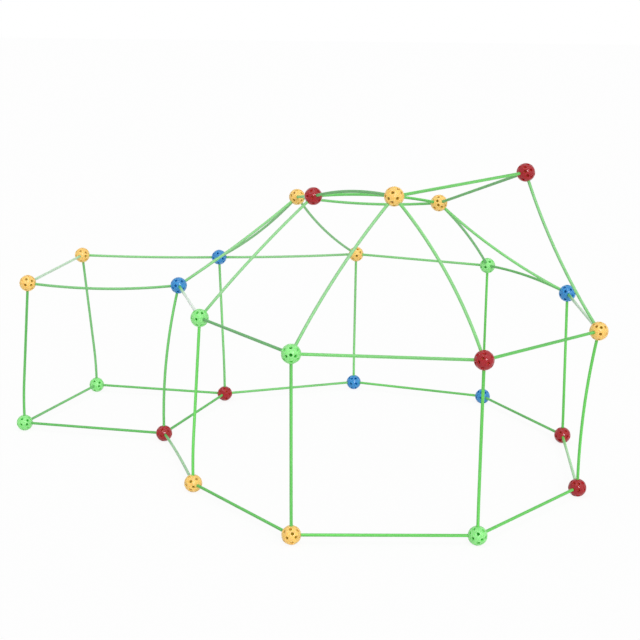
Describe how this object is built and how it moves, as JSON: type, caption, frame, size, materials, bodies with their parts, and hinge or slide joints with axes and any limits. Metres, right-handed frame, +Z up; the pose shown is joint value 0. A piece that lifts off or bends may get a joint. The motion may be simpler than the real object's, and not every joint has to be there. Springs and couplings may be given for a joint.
{
  "type": "rod and ball den frame",
  "caption": "Children's play den frame of green push-fit rods and coloured many-socket balls: nine-sided walls, peaked roof and a cube porch.",
  "frame": {"origin": "on the floor, below the middle of the frame's outer size", "axes": "+X from the porch to the far wall, the longest way; +Y across; +Z up, the shortest way"},
  "size_m": [1.7128, 1.3227, 0.8356],
  "materials": {
    "rod": "satin light green plastic",
    "ball_orange": "semi-gloss",
    "ball_green": "semi-gloss",
    "ball_blue": "semi-gloss",
    "ball_red": "semi-gloss"
  },
  "bodies": {
    "base": {"base_ball_1": "ball_red", "base_ball_2": "ball_red", "base_ball_3": "ball_blue", "base_ball_4": "ball_blue", "base_ball_5": "ball_red", "base_ball_6": "ball_red", "base_ball_7": "ball_green", "base_ball_8": "ball_orange", "base_ball_9": "ball_orange", "porch_base_ball_1": "ball_green", "porch_base_ball_2": "ball_green", "base_rods": "rod", "porch_base_rods": "rod"},
    "upper": {"eaves_ball_1": "ball_blue", "eaves_ball_2": "ball_blue", "eaves_ball_3": "ball_orange", "eaves_ball_4": "ball_green", "eaves_ball_5": "ball_blue", "eaves_ball_6": "ball_orange", "eaves_ball_7": "ball_red", "eaves_ball_8": "ball_green", "eaves_ball_9": "ball_green", "porch_top_ball_1": "ball_orange", "porch_top_ball_2": "ball_orange", "roof_ball_1": "ball_orange", "roof_ball_2": "ball_red", "roof_ball_3": "ball_orange", "roof_ball_4": "ball_red", "roof_ball_5": "ball_orange", "wall_post_1": "rod", "wall_post_2": "rod", "wall_post_3": "rod", "wall_post_4": "rod", "wall_post_5": "rod", "wall_post_6": "rod", "wall_post_7": "rod", "wall_post_8": "rod", "wall_post_9": "rod", "porch_post_1": "rod", "porch_post_2": "rod", "porch_top_rod_1": "rod", "porch_top_rod_2": "rod", "porch_top_rod_3": "rod", "rafter_1": "rod", "rafter_2": "rod", "rafter_3": "rod", "rafter_4": "rod", "rafter_5": "rod", "rafter_6": "rod", "rafter_7": "rod", "rafter_8": "rod", "rafter_9": "rod", "crown_rod_1": "rod", "crown_rod_2": "rod", "crown_rod_3": "rod", "crown_rod_4": "rod", "crown_rod_5": "rod", "crown_rod_6": "rod", "eaves_rods": "rod"}
  },
  "joints": [
    {"name": "frame_lift_off", "type": "slide", "parent": "base", "child": "upper", "axis": [0, 0, 1], "range_m": [0, 0.03]}
  ]
}
